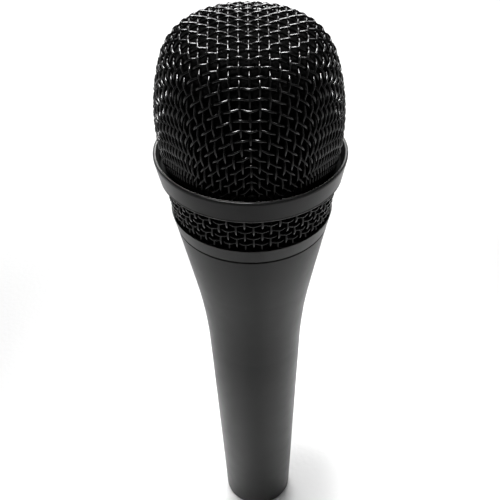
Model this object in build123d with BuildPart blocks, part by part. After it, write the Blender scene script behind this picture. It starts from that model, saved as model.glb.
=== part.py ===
"""Handheld vocal dynamic microphone: die-cast handle, screw-on wire grille, and a moving-coil capsule
on a rubber mount.

Millimetres. +Z runs up the microphone's axis from the tail to the grille, and the origin is the centre
of the tail's flat rim, on which the microphone can stand. -Y is the front, +Y the side with the screw.
Every half section is drawn in the XZ plane as (radius, height) and turned about Z.
"""

from build123d import *
from math import radians, sqrt, tan
import os

# ---- Driving dimensions ----------------------------------------------------------------------------
TOTAL_LENGTH = 180.0
HEAD_DIAMETER = 48.0  # over the belt's upper edge, the widest place

# Handle: a slim taper that flares into a cone under the grille
TAIL_RADIUS = 12.2
KNEE_HEIGHT = 96.3  # where the slim taper and the upper cone would meet
KNEE_RADIUS = 14.41
KNEE_BLEND = 168.0  # radius of the long concave flare between them
SEAM_HEIGHT = 128.5  # the joint line between handle and grille
SEAM_RADIUS = 20.2
EDGE_BREAK = 0.25  # small chamfers on turned edges
BARREL_RADIUS = 15.4  # clear bore of the handle's upper end

# Thread between handle and grille, right-handed
PITCH = 1.5
SPIGOT_TOP = 134.5
MALE_ROOT = 17.25
MALE_CREST = 17.8
FEMALE_ROOT = 18.0
FEMALE_CREST = 17.45
RIDGE_FLANK = 0.48  # half the ridge's width at its base
RIDGE_FLAT = 0.15  # half its width at the crest
MALE_START, MALE_TURNS = 129.9, 2.6
FEMALE_START, FEMALE_TURNS = MALE_START - PITCH / 2, 2.5  # half a pitch away, so the flanks clear

# Grille
COLLAR_GAP = 0.1  # running gap between the collar and the handle's shoulder
COLLAR_TOP = 132.7
COLLAR_TOP_RADIUS = 21.05
BELT_BOTTOM = 142.6
BELT_TOP = 148.9
BELT_LOWER_RADIUS = 22.95
MESH_THICKNESS = 1.2  # two crossed wires
DOME_TOP_RADIUS, DOME_TOP_ANGLE = 59.7, 11.4  # three tangent arcs: crown, shoulder and side
DOME_SHOULDER_RADIUS, DOME_SHOULDER_ANGLE = 11.0, 58.4
DOME_SIDE_RADIUS, DOME_SIDE_ANGLE = 44.8, 33.8
FOAM_THICKNESS = 2.4
FIT_GAP = 0.05  # between an insert and the wall that holds it
LINER_GAP = 0.3  # round the foam, which need not turn with the grille

# Three-pin connector in the tail: pins 1 and 2 side by side, pin 3 opposite
SOCKET_RADIUS = 8.1
INSERT_FACE = 13.8  # depth of the insulator's face behind the rim
INSERT_LENGTH = 10.0
PIN_RADIUS = 1.2
PIN_ROOT_RADIUS = 1.55  # the pins' thicker bodies, moulded into the insulator
PIN_ROOT_END = INSERT_FACE - 0.3
PIN_TIP = 2.4  # depth of the pins' tips behind the rim
PIN_SPREAD = 7.62  # pin 1 to pin 2
PIN_DROP = 6.35  # pin 3 to the line through pins 1 and 2
SCREW_RADIUS = 1.25
SCREW_HEIGHT = 18.8

# Capsule
CAN_RADIUS = 11.5
CAN_BOTTOM = 112.0
BASKET_RADIUS = 15.0
BASKET_BOTTOM = 138.0
MOTOR_BOTTOM = 139.6
POT_RADIUS = 10.8
GAP_OUTER = 9.3  # the ring gap that the voice coil moves in
GAP_INNER = 8.1
POLE_TOP = 146.2
DIAPHRAGM_HEIGHT = 148.0
DIAPHRAGM_RADIUS = 13.3
LEAD_RADIUS = 0.6


def finish(part, name):
    """Labels a finished piece and writes it as parts/NAME.step."""
    part.label = name
    export_step(part, f"parts/{name}.step")
    solids = part.solids()
    print(name, len(solids), "solid", round(sum(s.volume for s in solids), 1), "mm3")


def between(height, low, high):
    """Radius at a height on the straight line through two (radius, height) points."""
    return low[0] + (high[0] - low[0]) * (height - low[1]) / (high[1] - low[1])


def pin_places():
    """(x, y) of pins 1, 2 and 3, which lie on one circle about the axis."""
    half = PIN_SPREAD / 2
    circle = (half**2 + PIN_DROP**2) / (2 * PIN_DROP)
    return [(half, PIN_DROP - circle), (-half, PIN_DROP - circle), (0, -circle)]


def dome_arcs(inset, side_angle=DOME_SIDE_ANGLE):
    """The dome's outline from the crown down, inset from the outside, as three tangent arcs."""
    crown = JernArc((0, TOTAL_LENGTH - inset), (1, 0), DOME_TOP_RADIUS - inset, -DOME_TOP_ANGLE)
    shoulder = JernArc(crown @ 1, crown % 1, DOME_SHOULDER_RADIUS - inset, -DOME_SHOULDER_ANGLE)
    side = JernArc(shoulder @ 1, shoulder % 1, DOME_SIDE_RADIUS - inset, -side_angle)
    return side


def dome_shell(outer_inset, inner_inset, side_angle):
    """The outline of a shell under the dome: its outside, its inside and the two lines that join them."""
    outer_end = dome_arcs(outer_inset, side_angle) @ 1
    inner_end = dome_arcs(inner_inset, side_angle) @ 1
    Line(outer_end, inner_end)
    Line((0, TOTAL_LENGTH - outer_inset), (0, TOTAL_LENGTH - inner_inset))


def thread_ridge(base, crest, start, turns):
    """A right-handed helical ridge of trapezoid section, from its base radius to its crest radius."""
    with BuildPart() as ridge:
        with BuildLine():
            Helix(PITCH, PITCH * turns, base, center=(0, 0, start))
        with BuildSketch(Plane.XZ):
            with BuildLine():
                Polyline(
                    (base, start - RIDGE_FLANK),
                    (crest, start - RIDGE_FLAT),
                    (crest, start + RIDGE_FLAT),
                    (base, start + RIDGE_FLANK),
                    close=True,
                )
            make_face()
        sweep(is_frenet=True)
    return ridge.part


os.makedirs("parts", exist_ok=True)

# ---- Handle ----------------------------------------------------------------------------------------
STOP_HEIGHT = INSERT_FACE + INSERT_LENGTH + 0.1  # shoulder that the connector insert is pushed against
STOP_THICKNESS = 2.0
STOP_RADIUS = 7.2
CAVITY_BOTTOM = 29.0
CAVITY_RADIUS = 10.3
KNEE_WALL = 2.3
BARREL_BOTTOM = 113.5
LATCH_DEPTH = 1.1
LATCH_HEIGHT = 3.6
LATCH_WIDTH = 5.4
LATCH_CENTRE = 4.0
KEY_WIDTH = 2.2  # the polarising key, which runs along the socket's wall to the insulator
KEY_DEPTH = 1.4
KEY_END = 6.6  # how near the key comes to the rim

male_ridge = thread_ridge(MALE_ROOT - 0.1, MALE_CREST, MALE_START, MALE_TURNS)

with BuildPart() as handle:
    with BuildSketch(Plane.XZ):
        with BuildLine():
            outside = FilletPolyline(
                (TAIL_RADIUS, 0), (KNEE_RADIUS, KNEE_HEIGHT), (SEAM_RADIUS, SEAM_HEIGHT), radius=KNEE_BLEND
            )
            Polyline(
                (SEAM_RADIUS, SEAM_HEIGHT),
                (MALE_ROOT, SEAM_HEIGHT),
                (MALE_ROOT, SPIGOT_TOP),
                (BARREL_RADIUS, SPIGOT_TOP),
                (BARREL_RADIUS, BARREL_BOTTOM),
                (KNEE_RADIUS - KNEE_WALL, KNEE_HEIGHT),
                (CAVITY_RADIUS, CAVITY_BOTTOM),
                (STOP_RADIUS, STOP_HEIGHT + STOP_THICKNESS),
                (STOP_RADIUS, STOP_HEIGHT),
                (SOCKET_RADIUS, STOP_HEIGHT),
                (SOCKET_RADIUS, 0),
                (TAIL_RADIUS, 0),
            )
        make_face()
    revolve(axis=Axis.Z)
    # a lead-in for the plug, a soft outer rim and a broken edge at the joint line
    rim = handle.faces().sort_by(Axis.Z)[0].edges().sort_by(SortBy.LENGTH)
    chamfer(rim[0], length=0.5)
    fillet(handle.faces().sort_by(Axis.Z)[0].edges().sort_by(SortBy.LENGTH)[-1], radius=0.8)
    seam_edge = handle.edges().filter_by(GeomType.CIRCLE).filter_by_position(
        Axis.Z, SEAM_HEIGHT - 0.01, SEAM_HEIGHT + 0.01
    )
    chamfer(seam_edge.sort_by(SortBy.LENGTH)[-1], length=EDGE_BREAK)
    # the latch's recess in the socket's wall
    with Locations((0, SOCKET_RADIUS, LATCH_CENTRE)):
        Box(LATCH_WIDTH, 2 * LATCH_DEPTH, LATCH_HEIGHT, mode=Mode.SUBTRACT)
    # the key opposite the latch
    with BuildSketch(Plane.XY.offset(KEY_END)):
        with Locations((0, -SOCKET_RADIUS + (KEY_DEPTH - 1) / 2)):
            Rectangle(KEY_WIDTH, KEY_DEPTH + 1)
    extrude(amount=INSERT_FACE - FIT_GAP - KEY_END)
    # the tapped hole for the insert's screw
    with BuildSketch(Plane.XZ.offset(-SOCKET_RADIUS + 1)):
        with Locations((0, SCREW_HEIGHT)):
            Circle(SCREW_RADIUS + FIT_GAP)
    extrude(amount=-(TAIL_RADIUS - SOCKET_RADIUS + 3), mode=Mode.SUBTRACT)
    add(male_ridge)
finish(handle.part, "handle")

# ---- Connector insert, its pins, its screw and the ground contact ----------------------------------
INSERT_RADIUS = SOCKET_RADIUS - FIT_GAP
SCREW_POCKET = 1.2

with BuildPart() as xlr_insert:
    with BuildSketch(Plane.XY.offset(INSERT_FACE)):
        Circle(INSERT_RADIUS)
        with Locations(*pin_places()):
            Circle(PIN_ROOT_RADIUS, mode=Mode.SUBTRACT)
    extrude(amount=INSERT_LENGTH)
    # the pocket that the screw's tip enters
    with BuildSketch(Plane.XZ.offset(-INSERT_RADIUS - 1)):
        with Locations((0, SCREW_HEIGHT)):
            Circle(SCREW_RADIUS + 2 * FIT_GAP)
    extrude(amount=SCREW_POCKET + 1, mode=Mode.SUBTRACT)
finish(xlr_insert.part, "xlr_insert")

CUP_LENGTH = 5.0
CUP_BORE = 1.0
CUP_DEPTH = 3.6
INSERT_TOP = INSERT_FACE + INSERT_LENGTH

for number, (x, y) in enumerate(pin_places(), start=1):
    with BuildPart() as pin:
        with BuildSketch(Plane.XY.offset(PIN_TIP)):
            with Locations((x, y)):
                Circle(PIN_RADIUS)
        extrude(amount=PIN_ROOT_END - PIN_TIP)
        fillet(pin.edges().sort_by(Axis.Z)[0], radius=0.95)
        with BuildSketch(Plane.XY.offset(PIN_ROOT_END)):
            with Locations((x, y)):
                Circle(PIN_ROOT_RADIUS)
        extrude(amount=INSERT_TOP + CUP_LENGTH - PIN_ROOT_END)
        with BuildSketch(Plane.XY.offset(INSERT_TOP + CUP_LENGTH - CUP_DEPTH)):
            with Locations((x, y)):
                Circle(CUP_BORE)
        extrude(amount=CUP_DEPTH, mode=Mode.SUBTRACT)
    finish(pin.part, f"xlr_pin_{number}")

SCREW_OUTER = 12.0  # just under the handle's surface
HEX_ACROSS = 1.3
HEX_DEPTH = 1.6

with BuildPart() as insert_screw:
    with BuildSketch(Plane.XZ.offset(-(INSERT_RADIUS - SCREW_POCKET + FIT_GAP))):
        with Locations((0, SCREW_HEIGHT)):
            Circle(SCREW_RADIUS)
    extrude(amount=-(SCREW_OUTER - INSERT_RADIUS + SCREW_POCKET - FIT_GAP))
    chamfer(insert_screw.edges().filter_by(GeomType.CIRCLE).sort_by(Axis.Y)[0], length=0.35)
    with BuildSketch(Plane.XZ.offset(-SCREW_OUTER)):
        with Locations((0, SCREW_HEIGHT)):
            RegularPolygon(HEX_ACROSS / 2, 6, major_radius=False)
    extrude(amount=HEX_DEPTH, mode=Mode.SUBTRACT)
finish(insert_screw.part, "insert_screw")

STRIP = 0.3
STRIP_WIDTH = 2.4
PIN_1_X, PIN_1_Y = pin_places()[0]
CONTACT_TOP = 34.0


# a spring strip from the side of pin 1's cup to the handle's wall
wall_radius = between(CONTACT_TOP - 1.5, (CAVITY_RADIUS, CAVITY_BOTTOM), (KNEE_RADIUS - KNEE_WALL, KNEE_HEIGHT))
touch_x = sqrt(wall_radius**2 - (PIN_1_Y + STRIP_WIDTH / 2) ** 2) - 2 * FIT_GAP
with BuildPart() as ground_contact:
    with BuildSketch(Plane.XZ.offset(-PIN_1_Y + STRIP_WIDTH / 2)):
        with BuildLine() as strip_line:
            Polyline(
                (PIN_1_X + PIN_ROOT_RADIUS + STRIP / 2, INSERT_TOP + 0.4),
                (PIN_1_X + PIN_ROOT_RADIUS + STRIP / 2, INSERT_TOP + 5.6),
                (touch_x - STRIP / 2, CONTACT_TOP - 1.5),
                (touch_x - 1.2, CONTACT_TOP),
            )
            offset(amount=STRIP / 2, kind=Kind.INTERSECTION, side=Side.BOTH, mode=Mode.REPLACE)
        make_face()
    extrude(amount=-STRIP_WIDTH)
finish(ground_contact.part, "ground_contact")

# ---- Grille: collar, lower mesh, belt and its backing ring, dome mesh ------------------------------
COLLAR_BOTTOM = SEAM_HEIGHT + COLLAR_GAP
COLLAR_INNER_TOP = 133.6
SKIRT_LOW = (20.35, 131.0)  # (radius, height) of the lower mesh's outside, in the collar's slot
SKIRT_HIGH = (22.6, 144.8)  # and inside the belt
SLOT_INNER = SKIRT_LOW[0] - MESH_THICKNESS - FIT_GAP

female_ridge = thread_ridge(FEMALE_ROOT + 0.1, FEMALE_CREST, FEMALE_START, FEMALE_TURNS)

with BuildPart() as collar:
    with BuildSketch(Plane.XZ):
        with BuildLine():
            Polyline(
                (FEMALE_ROOT, COLLAR_BOTTOM),
                (SEAM_RADIUS, COLLAR_BOTTOM),
                (COLLAR_TOP_RADIUS, COLLAR_TOP),
                (between(COLLAR_TOP, SKIRT_LOW, SKIRT_HIGH) + FIT_GAP, COLLAR_TOP),
                (SKIRT_LOW[0] + FIT_GAP, SKIRT_LOW[1]),
                (SLOT_INNER, SKIRT_LOW[1]),
                (SLOT_INNER, COLLAR_INNER_TOP),
                (FEMALE_ROOT, COLLAR_INNER_TOP),
                close=True,
            )
        make_face()
    revolve(axis=Axis.Z)
    lower_edge = collar.edges().filter_by(GeomType.CIRCLE).group_by(Axis.Z)[0].sort_by(SortBy.LENGTH)[-1]
    chamfer(lower_edge, length=EDGE_BREAK)
    add(female_ridge)
finish(collar.part, "collar")

with BuildPart() as skirt_mesh:
    with BuildSketch(Plane.XZ):
        with BuildLine():
            Polyline(
                SKIRT_LOW,
                SKIRT_HIGH,
                (SKIRT_HIGH[0] - MESH_THICKNESS, SKIRT_HIGH[1]),
                (SKIRT_LOW[0] - MESH_THICKNESS, SKIRT_LOW[1]),
                close=True,
            )
        make_face()
    revolve(axis=Axis.Z)
finish(skirt_mesh.part, "skirt_mesh")

BELT_RIB_BOTTOM = 144.9  # the rib inside the belt, between the two meshes' edges
BELT_RIB_TOP = 145.7
RIB_RADIUS = 20.1
BELT_UPPER_BORE = 22.55
BELT_RIM = 0.7  # height of the upright rim along the belt's upper edge
BELT_LIP = 0.65  # width of the lip that the bore's flare leaves
BELT_FLARE = 1.4

with BuildPart() as belt:
    with BuildSketch(Plane.XZ):
        with BuildLine():
            Polyline(
                (between(BELT_BOTTOM, SKIRT_LOW, SKIRT_HIGH) + FIT_GAP, BELT_BOTTOM),
                (BELT_LOWER_RADIUS, BELT_BOTTOM),
                (HEAD_DIAMETER / 2, BELT_TOP - BELT_RIM),
                (HEAD_DIAMETER / 2, BELT_TOP),
                (HEAD_DIAMETER / 2 - BELT_LIP, BELT_TOP),
                (BELT_UPPER_BORE, BELT_TOP - BELT_FLARE),
                (BELT_UPPER_BORE, BELT_RIB_TOP),
                (RIB_RADIUS, BELT_RIB_TOP),
                (RIB_RADIUS, BELT_RIB_BOTTOM),
                (between(BELT_RIB_BOTTOM, SKIRT_LOW, SKIRT_HIGH) + FIT_GAP, BELT_RIB_BOTTOM),
                close=True,
            )
        make_face()
    revolve(axis=Axis.Z)
    upper_circles = belt.edges().filter_by(GeomType.CIRCLE).group_by(Axis.Z)[-1].sort_by(SortBy.LENGTH)
    fillet(upper_circles[-1], radius=0.3)
    fillet(upper_circles[0], radius=0.2)
    lower_circles = belt.edges().filter_by(GeomType.CIRCLE).group_by(Axis.Z)[0].sort_by(SortBy.LENGTH)
    chamfer(lower_circles[-1], length=0.3)
finish(belt.part, "belt")

BACKING_INNER = 19.3
BACKING_BOTTOM = 143.4
BACKING_TOP = 147.6
BACKING_OUTER = 19.95

with BuildPart() as belt_backing_ring:
    with BuildSketch(Plane.XY.offset(BACKING_BOTTOM)):
        Circle(BACKING_OUTER)
        Circle(BACKING_INNER, mode=Mode.SUBTRACT)
    extrude(amount=BACKING_TOP - BACKING_BOTTOM)
    chamfer(belt_backing_ring.edges().filter_by(GeomType.CIRCLE), length=0.2)
finish(belt_backing_ring.part, "belt_backing_ring")

with BuildPart() as dome_mesh:
    with BuildSketch(Plane.XZ):
        with BuildLine():
            dome_shell(0, MESH_THICKNESS, DOME_SIDE_ANGLE)
        make_face()
    revolve(axis=Axis.Z)
finish(dome_mesh.part, "dome_mesh")

# ---- Foam liners -----------------------------------------------------------------------------------
DOME_FOAM_ANGLE = 31.5

with BuildPart() as dome_foam:
    with BuildSketch(Plane.XZ):
        with BuildLine():
            dome_shell(MESH_THICKNESS + LINER_GAP, MESH_THICKNESS + LINER_GAP + FOAM_THICKNESS, DOME_FOAM_ANGLE)
        make_face()
    revolve(axis=Axis.Z)
finish(dome_foam.part, "dome_foam")

SKIRT_FOAM_BOTTOM = COLLAR_INNER_TOP + LINER_GAP
SKIRT_FOAM_TOP = BACKING_BOTTOM - LINER_GAP
SKIRT_FOAM_INNER = 18.2
skirt_inset = MESH_THICKNESS + LINER_GAP

with BuildPart() as skirt_foam:
    with BuildSketch(Plane.XZ):
        with BuildLine():
            Polyline(
                (SKIRT_FOAM_INNER, SKIRT_FOAM_BOTTOM),
                (between(SKIRT_FOAM_BOTTOM, SKIRT_LOW, SKIRT_HIGH) - skirt_inset, SKIRT_FOAM_BOTTOM),
                (between(SKIRT_FOAM_TOP, SKIRT_LOW, SKIRT_HIGH) - skirt_inset, SKIRT_FOAM_TOP),
                (SKIRT_FOAM_INNER, SKIRT_FOAM_TOP),
                close=True,
            )
        make_face()
    revolve(axis=Axis.Z)
finish(skirt_foam.part, "skirt_foam")

# ---- Capsule's mount in the handle -----------------------------------------------------------------
MOUNT_BOTTOM = 128.0
MOUNT_INNER = 13.4
FLANGE_RADIUS = 16.9
FLANGE_THICKNESS = 1.0
SHOCK_BOTTOM = 129.5
SHOCK_TOP = 136.2
SHOCK_LIP = 0.6

with BuildPart() as mount_ring:
    with BuildSketch(Plane.XZ):
        with BuildLine():
            Polyline(
                (MOUNT_INNER, MOUNT_BOTTOM),
                (BARREL_RADIUS - FIT_GAP, MOUNT_BOTTOM),
                (BARREL_RADIUS - FIT_GAP, SPIGOT_TOP),
                (FLANGE_RADIUS, SPIGOT_TOP),
                (FLANGE_RADIUS, SPIGOT_TOP + FLANGE_THICKNESS),
                (MOUNT_INNER, SPIGOT_TOP + FLANGE_THICKNESS),
                close=True,
            )
        make_face()
    revolve(axis=Axis.Z)
finish(mount_ring.part, "mount_ring")

# a rubber ring of U section: its outer lip grips the mount ring, its inner lip the capsule's can
with BuildPart() as shock_mount:
    with BuildSketch(Plane.XZ):
        with BuildLine():
            Polyline(
                (CAN_RADIUS + FIT_GAP, SHOCK_BOTTOM),
                (MOUNT_INNER - FIT_GAP, SHOCK_BOTTOM),
                (MOUNT_INNER - FIT_GAP, SHOCK_TOP),
                (MOUNT_INNER - FIT_GAP - SHOCK_LIP, SHOCK_TOP),
                (MOUNT_INNER - FIT_GAP - SHOCK_LIP, SHOCK_BOTTOM + SHOCK_LIP),
                (CAN_RADIUS + FIT_GAP + SHOCK_LIP, SHOCK_BOTTOM + SHOCK_LIP),
                (CAN_RADIUS + FIT_GAP + SHOCK_LIP, SHOCK_TOP),
                (CAN_RADIUS + FIT_GAP, SHOCK_TOP),
                close=True,
            )
        make_face()
    revolve(axis=Axis.Z)
finish(shock_mount.part, "shock_mount")

# ---- Capsule: can, basket, motor, diaphragm and front ----------------------------------------------
CAN_WALL = 1.0
CAN_FLOOR = 1.4

with BuildPart() as rear_chamber:
    with BuildSketch(Plane.XY.offset(CAN_BOTTOM)):
        Circle(CAN_RADIUS)
    extrude(amount=BASKET_BOTTOM - CAN_BOTTOM)
    with BuildSketch(Plane.XY.offset(CAN_BOTTOM + CAN_FLOOR)):
        Circle(CAN_RADIUS - CAN_WALL)
    extrude(amount=BASKET_BOTTOM - CAN_BOTTOM - CAN_FLOOR, mode=Mode.SUBTRACT)
    fillet(rear_chamber.faces().sort_by(Axis.Z)[0].edges(), radius=1.0)
finish(rear_chamber.part, "rear_chamber")

DAMPER_THICKNESS = 4.0

with BuildPart() as chamber_damper:
    with BuildSketch(Plane.XY.offset(CAN_BOTTOM + CAN_FLOOR)):
        Circle(CAN_RADIUS - CAN_WALL - FIT_GAP)
    extrude(amount=DAMPER_THICKNESS)
finish(chamber_damper.part, "chamber_damper")

BASKET_WALL = 1.1
BASKET_FLOOR = MOTOR_BOTTOM - BASKET_BOTTOM
LEDGE_INNER = 12.2
LEDGE_BOTTOM = 147.0
FLOOR_HOLE = 9.4
REAR_PORT_RADIUS = 0.9
REAR_PORT_CIRCLE = 12.7
REAR_PORT_COUNT = 10

with BuildPart() as capsule_basket:
    with BuildSketch(Plane.XZ):
        with BuildLine():
            Polyline(
                (FLOOR_HOLE, BASKET_BOTTOM),
                (BASKET_RADIUS, BASKET_BOTTOM),
                (BASKET_RADIUS, DIAPHRAGM_HEIGHT + 1.4),
                (DIAPHRAGM_RADIUS + FIT_GAP, DIAPHRAGM_HEIGHT + 1.4),
                (DIAPHRAGM_RADIUS + FIT_GAP, DIAPHRAGM_HEIGHT),
                (LEDGE_INNER, DIAPHRAGM_HEIGHT),
                (LEDGE_INNER, LEDGE_BOTTOM),
                (BASKET_RADIUS - BASKET_WALL, LEDGE_BOTTOM - 1),
                (BASKET_RADIUS - BASKET_WALL, MOTOR_BOTTOM),
                (FLOOR_HOLE, MOTOR_BOTTOM),
                close=True,
            )
        make_face()
    revolve(axis=Axis.Z)
    # rear sound ports through the floor, outside the magnet's pot
    with BuildSketch(Plane.XY.offset(BASKET_BOTTOM)):
        with PolarLocations(REAR_PORT_CIRCLE, REAR_PORT_COUNT):
            Circle(REAR_PORT_RADIUS)
    extrude(amount=BASKET_FLOOR, mode=Mode.SUBTRACT)
finish(capsule_basket.part, "capsule_basket")

with BuildPart() as acoustic_felt:
    with BuildSketch(Plane.XY.offset(MOTOR_BOTTOM)):
        Circle(BASKET_RADIUS - BASKET_WALL - FIT_GAP)
        Circle(POT_RADIUS + FIT_GAP, mode=Mode.SUBTRACT)
    extrude(amount=0.8)
finish(acoustic_felt.part, "acoustic_felt")

POT_FLOOR = 1.6
MAGNET_RADIUS = 7.6
POLE_THICKNESS = 1.8
VENT_RADIUS = 0.7
VENT_COUNT = 8

with BuildPart() as magnet_pot:
    with BuildSketch(Plane.XY.offset(MOTOR_BOTTOM)):
        Circle(POT_RADIUS)
    extrude(amount=POLE_TOP - MOTOR_BOTTOM)
    with BuildSketch(Plane.XY.offset(MOTOR_BOTTOM + POT_FLOOR)):
        Circle(GAP_OUTER)
    extrude(amount=POLE_TOP - MOTOR_BOTTOM - POT_FLOOR, mode=Mode.SUBTRACT)
    chamfer(magnet_pot.edges().filter_by(GeomType.CIRCLE).group_by(Axis.Z)[0], length=0.4)
    # vents from the voice coil's gap into the rear chamber
    with BuildSketch(Plane.XY.offset(MOTOR_BOTTOM)):
        with PolarLocations((MAGNET_RADIUS + GAP_OUTER) / 2, VENT_COUNT):
            Circle(VENT_RADIUS)
    extrude(amount=POT_FLOOR, mode=Mode.SUBTRACT)
finish(magnet_pot.part, "magnet_pot")

with BuildPart() as magnet:
    with BuildSketch(Plane.XY.offset(MOTOR_BOTTOM + POT_FLOOR)):
        Circle(MAGNET_RADIUS)
    extrude(amount=POLE_TOP - POLE_THICKNESS - MOTOR_BOTTOM - POT_FLOOR)
finish(magnet.part, "magnet")

with BuildPart() as pole_plate:
    with BuildSketch(Plane.XY.offset(POLE_TOP - POLE_THICKNESS)):
        Circle(GAP_INNER)
    extrude(amount=POLE_THICKNESS)
    chamfer(pole_plate.edges().group_by(Axis.Z)[-1], length=0.2)
finish(pole_plate.part, "pole_plate")

COIL_INNER = 8.45
COIL_OUTER = 8.95
COIL_BOTTOM = 143.6
DIAPHRAGM_SKIN = 0.15
DOME_RISE = 1.9
SURROUND_RISE = 0.9

with BuildPart() as voice_coil:
    with BuildSketch(Plane.XY.offset(COIL_BOTTOM)):
        Circle(COIL_OUTER)
        Circle(COIL_INNER, mode=Mode.SUBTRACT)
    extrude(amount=DIAPHRAGM_HEIGHT - COIL_BOTTOM)
finish(voice_coil.part, "voice_coil")


FILM_LEVELS = (DIAPHRAGM_HEIGHT, DIAPHRAGM_HEIGHT + DIAPHRAGM_SKIN)
SURROUND_INNER = COIL_OUTER + 0.1

with BuildPart() as diaphragm:
    with BuildSketch(Plane.XZ):
        with BuildLine():
            for level in FILM_LEVELS:
                ThreePointArc((0, level + DOME_RISE), (4.3, level + 0.76 * DOME_RISE), (COIL_INNER, level))
                Line((COIL_INNER, level), (COIL_OUTER, level))
            Line((0, FILM_LEVELS[0] + DOME_RISE), (0, FILM_LEVELS[1] + DOME_RISE))
            Line((COIL_OUTER, FILM_LEVELS[0]), (COIL_OUTER, FILM_LEVELS[1]))
        make_face()
    revolve(axis=Axis.Z)
finish(diaphragm.part, "diaphragm")

# the rolled surround that the diaphragm hangs in, and its glued rim
with BuildPart() as surround:
    with BuildSketch(Plane.XZ):
        with BuildLine():
            for level in FILM_LEVELS:
                middle = ((SURROUND_INNER + LEDGE_INNER) / 2, level + SURROUND_RISE)
                ThreePointArc((SURROUND_INNER, level), middle, (LEDGE_INNER, level))
                Line((LEDGE_INNER, level), (DIAPHRAGM_RADIUS, level))
            Line((SURROUND_INNER, FILM_LEVELS[0]), (SURROUND_INNER, FILM_LEVELS[1]))
            Line((DIAPHRAGM_RADIUS, FILM_LEVELS[0]), (DIAPHRAGM_RADIUS, FILM_LEVELS[1]))
        make_face()
    revolve(axis=Axis.Z)
finish(surround.part, "surround")

CLAMP_BOTTOM = DIAPHRAGM_HEIGHT + DIAPHRAGM_SKIN
CAP_BOTTOM = DIAPHRAGM_HEIGHT + 1.4

with BuildPart() as clamp_ring:
    with BuildSketch(Plane.XY.offset(CLAMP_BOTTOM)):
        Circle(DIAPHRAGM_RADIUS)
        Circle(LEDGE_INNER + 0.2, mode=Mode.SUBTRACT)
    extrude(amount=CAP_BOTTOM - CLAMP_BOTTOM)
finish(clamp_ring.part, "clamp_ring")

CAP_RADIUS = 15.9
CAP_THICKNESS = 1.2
CAP_CROWN = 2.6
CAP_SKIRT = 2.2
CAP_HOLE = 1.3

with BuildPart() as front_cap:
    with BuildSketch(Plane.XZ):
        with BuildLine():
            Polyline(
                (0, CAP_BOTTOM + CAP_CROWN),
                (7.5, CAP_BOTTOM + CAP_CROWN),
                (BASKET_RADIUS - 1.5, CAP_BOTTOM),
                (BASKET_RADIUS + FIT_GAP, CAP_BOTTOM),
                (BASKET_RADIUS + FIT_GAP, CAP_BOTTOM - CAP_SKIRT),
                (CAP_RADIUS, CAP_BOTTOM - CAP_SKIRT),
                (CAP_RADIUS, CAP_BOTTOM + CAP_THICKNESS),
                (BASKET_RADIUS - 1.2, CAP_BOTTOM + CAP_THICKNESS),
                (8.0, CAP_BOTTOM + CAP_CROWN + CAP_THICKNESS),
                (0, CAP_BOTTOM + CAP_CROWN + CAP_THICKNESS),
                close=True,
            )
        make_face()
    revolve(axis=Axis.Z)
    # front sound holes: one in the middle, six round it and twelve on the slope
    with BuildSketch(Plane.XY.offset(CAP_BOTTOM - 0.5)):
        Circle(CAP_HOLE)
        with PolarLocations(4.8, 6):
            Circle(CAP_HOLE)
        with PolarLocations(10.4, 12, start_angle=15):
            Circle(CAP_HOLE)
    extrude(amount=CAP_CROWN + CAP_THICKNESS + 1, mode=Mode.SUBTRACT)
finish(front_cap.part, "front_cap")

with BuildPart() as front_screen:
    with BuildSketch(Plane.XY.offset(CAP_BOTTOM + CAP_CROWN + CAP_THICKNESS)):
        Circle(7.9)
    extrude(amount=0.3)
finish(front_screen.part, "front_screen")

HUM_COIL_RADIUS = 16.5

with BuildPart() as hum_coil:
    with BuildSketch(Plane.XY.offset(BASKET_BOTTOM + 1.2)):
        Circle(HUM_COIL_RADIUS)
        Circle(BASKET_RADIUS + FIT_GAP, mode=Mode.SUBTRACT)
    extrude(amount=5.0)
    fillet(hum_coil.edges().filter_by(GeomType.CIRCLE), radius=0.4)
finish(hum_coil.part, "hum_coil")

TERMINAL_THICKNESS = 1.2
TERMINAL_RADIUS = 8.0
LUG_PLACES = ((3.2, 0), (-3.2, 0))
LUG_LENGTH = 2.4

with BuildPart() as terminal_disc:
    with BuildSketch(Plane.XY.offset(CAN_BOTTOM)):
        Circle(TERMINAL_RADIUS)
    extrude(amount=-TERMINAL_THICKNESS)
finish(terminal_disc.part, "terminal_disc")

with BuildPart() as terminal_lugs:
    with BuildSketch(Plane.XY.offset(CAN_BOTTOM - TERMINAL_THICKNESS)):
        with Locations(*LUG_PLACES):
            Circle(0.9)
    extrude(amount=-LUG_LENGTH)
finish(terminal_lugs.part, "terminal_lugs")

# ---- Leads from the capsule to pins 2 and 3 --------------------------------------------------------
LUG_END = CAN_BOTTOM - TERMINAL_THICKNESS - LUG_LENGTH
CUP_TOP = INSERT_TOP + CUP_LENGTH


def lead_route(lug, cup, sway):
    """A lead's corners: down from its lug, through the handle with some slack, and into its cup."""
    drop = LUG_END - CUP_TOP
    return [
        (lug[0], lug[1], LUG_END),
        (lug[0], lug[1], LUG_END - 0.10 * drop),
        (lug[0] * 0.8 + 0.5 * sway, 0.9 * sway, LUG_END - 0.28 * drop),
        (lug[0] * 0.2, sway, LUG_END - 0.47 * drop),
        (cup[0] - 0.4 * sway, 0.3 * sway, LUG_END - 0.66 * drop),
        (cup[0] - 0.2 * sway, cup[1] - 0.4 * sway, LUG_END - 0.83 * drop),
        (cup[0], cup[1], LUG_END - 0.94 * drop),
        (cup[0], cup[1], CUP_TOP - CUP_DEPTH + 0.4),
    ]


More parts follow.
